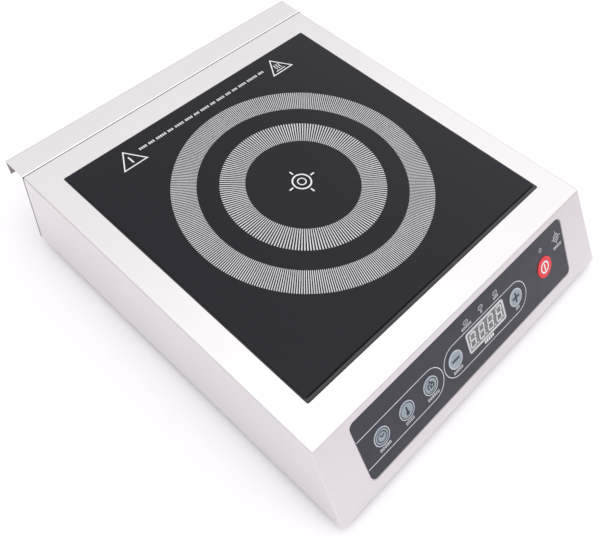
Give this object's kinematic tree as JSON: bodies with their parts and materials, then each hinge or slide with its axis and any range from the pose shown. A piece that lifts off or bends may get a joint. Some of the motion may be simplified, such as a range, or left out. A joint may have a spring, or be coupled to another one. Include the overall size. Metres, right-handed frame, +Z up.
{
  "type": "induction hob",
  "caption": "Counter-top induction hob: stainless case with a square glass cooking plate, a sloped key and display panel in front, and a vented rear hood.",
  "frame": {"origin": "middle of the footprint, on the surface that the feet stand on", "axes": "+Z up, +X to the right of a cook who faces the controls, +Y to the rear; the sloped control front faces -Y"},
  "size_m": [0.3384, 0.396, 0.0824],
  "materials": {
    "stainless": "brushed stainless sheet, fine grain",
    "galvanised": "zinc-coated sheet",
    "black_glass": "polished black ceramic glass with printed rings",
    "silicone": "grey-brown silicone bead",
    "mica": "pressed mica sheet",
    "copper_litz": "enamelled copper strands",
    "black_plastic": "moulded black plastic",
    "ferrite": "sintered ferrite",
    "aluminium_plate": "mill-finish sheet",
    "zinc_hardware": "zinc-plated hardware",
    "spring_steel": "spring steel wire",
    "red_insulation": "insulated heavy wire",
    "white_insulation": "insulated signal wire",
    "white_ceramic": "glazed ceramic",
    "overlay_film": "dark blue-grey satin film",
    "key_plastic": "grey-blue key cap",
    "red_plastic": "red key cap",
    "bezel_plastic": "light grey window frame",
    "smoked_window": "smoked display filter",
    "display_face": "grey display face",
    "circuit_board": "green solder mask",
    "lamp_lens": "diffusing lamp lens",
    "brass_post": "turned brass",
    "aluminium_extrusion": "extruded heat sink",
    "capacitor_case": "potted film capacitor case",
    "fuse_glass": "fuse tube and clips",
    "transformer_core": "taped transformer",
    "fan_plastic": "fan impeller plastic",
    "black_nylon": "black nylon gland",
    "rubber_foot": "black rubber",
    "white_ink": "printed white marks",
    "ring_ink": "printed grey ring marks"
  },
  "bodies": {
    "case": {"air_duct": "black_plastic", "base_plate": "galvanised", "base_screws": "zinc_hardware", "board_posts": "brass_post", "board_screws": "zinc_hardware", "bridge_posts": "zinc_hardware", "bridge_rectifier": "black_plastic", "buzzer": "black_plastic", "cable_gland": "black_nylon", "coil_bridge": "aluminium_plate", "coil_carrier": "black_plastic", "coil_leads": "red_insulation", "coil_pins": "zinc_hardware", "coil_springs": "spring_steel", "coil_winding": "copper_litz", "control_board": "circuit_board", "control_nuts": "zinc_hardware", "control_posts": "zinc_hardware", "dc_link_capacitor": "capacitor_case", "display_bezel": "bezel_plastic", "display_module": "display_face", "display_window": "smoked_window", "earth_stud": "zinc_hardware", "fan_frame": "black_plastic", "fan_screws": "zinc_hardware", "feet": "rubber_foot", "ferrite_bars": "ferrite", "filter_choke": "copper_litz", "foot_screws": "zinc_hardware", "front_overlay": "overlay_film", "fuse": "fuse_glass", "gland_nut": "black_nylon", "glass_plate": "black_glass", "glass_seal": "silicone", "glass_support": "galvanised", "heatsink": "aluminium_extrusion", "igbts": "black_plastic", "indicator_leds": "lamp_lens", "key_guide": "black_plastic", "mains_wires": "red_insulation", "mica_sheet": "mica", "power_board": "circuit_board", "rear_panel": "stainless", "rear_screws": "zinc_hardware", "resonant_capacitor": "capacitor_case", "ribbon_cable": "white_insulation", "sensor_lead": "white_insulation", "tact_switches": "black_plastic", "terminal_block": "white_ceramic", "thermistor_cap": "white_ceramic", "thermistor_spring": "spring_steel", "top_cover": "stainless", "transformer": "transformer_core"},
    "rotor": {"fan_rotor": "fan_plastic"},
    "key_timer": {"key_timer": "key_plastic"},
    "key_temp": {"key_temp": "key_plastic"},
    "key_power": {"key_power": "key_plastic"},
    "key_down": {"key_down": "key_plastic"},
    "key_up": {"key_up": "key_plastic"},
    "key_on_off": {"key_on_off": "red_plastic"}
  },
  "joints": [
    {"name": "fan_spin", "type": "hinge", "parent": "case", "child": "rotor", "pos_m": [-0.088, -0.078, 0.02], "axis": [0, 0, 1], "continuous": true},
    {"name": "key_timer_press", "type": "slide", "parent": "case", "child": "key_timer", "axis": [0, 0.861, -0.5087], "range_m": [0, 0.0005], "stiffness_N_per_m": 400, "springref_m": -0.0015},
    {"name": "key_temp_press", "type": "slide", "parent": "case", "child": "key_temp", "axis": [0, 0.861, -0.5087], "range_m": [0, 0.0005], "stiffness_N_per_m": 400, "springref_m": -0.0015},
    {"name": "key_power_press", "type": "slide", "parent": "case", "child": "key_power", "axis": [0, 0.861, -0.5087], "range_m": [0, 0.0005], "stiffness_N_per_m": 400, "springref_m": -0.0015},
    {"name": "key_down_press", "type": "slide", "parent": "case", "child": "key_down", "axis": [0, 0.861, -0.5087], "range_m": [0, 0.0005], "stiffness_N_per_m": 400, "springref_m": -0.0015},
    {"name": "key_up_press", "type": "slide", "parent": "case", "child": "key_up", "axis": [0, 0.861, -0.5087], "range_m": [0, 0.0005], "stiffness_N_per_m": 400, "springref_m": -0.0015},
    {"name": "key_on_off_press", "type": "slide", "parent": "case", "child": "key_on_off", "axis": [0, 0.861, -0.5087], "range_m": [0, 0.0005], "stiffness_N_per_m": 400, "springref_m": -0.0015}
  ]
}
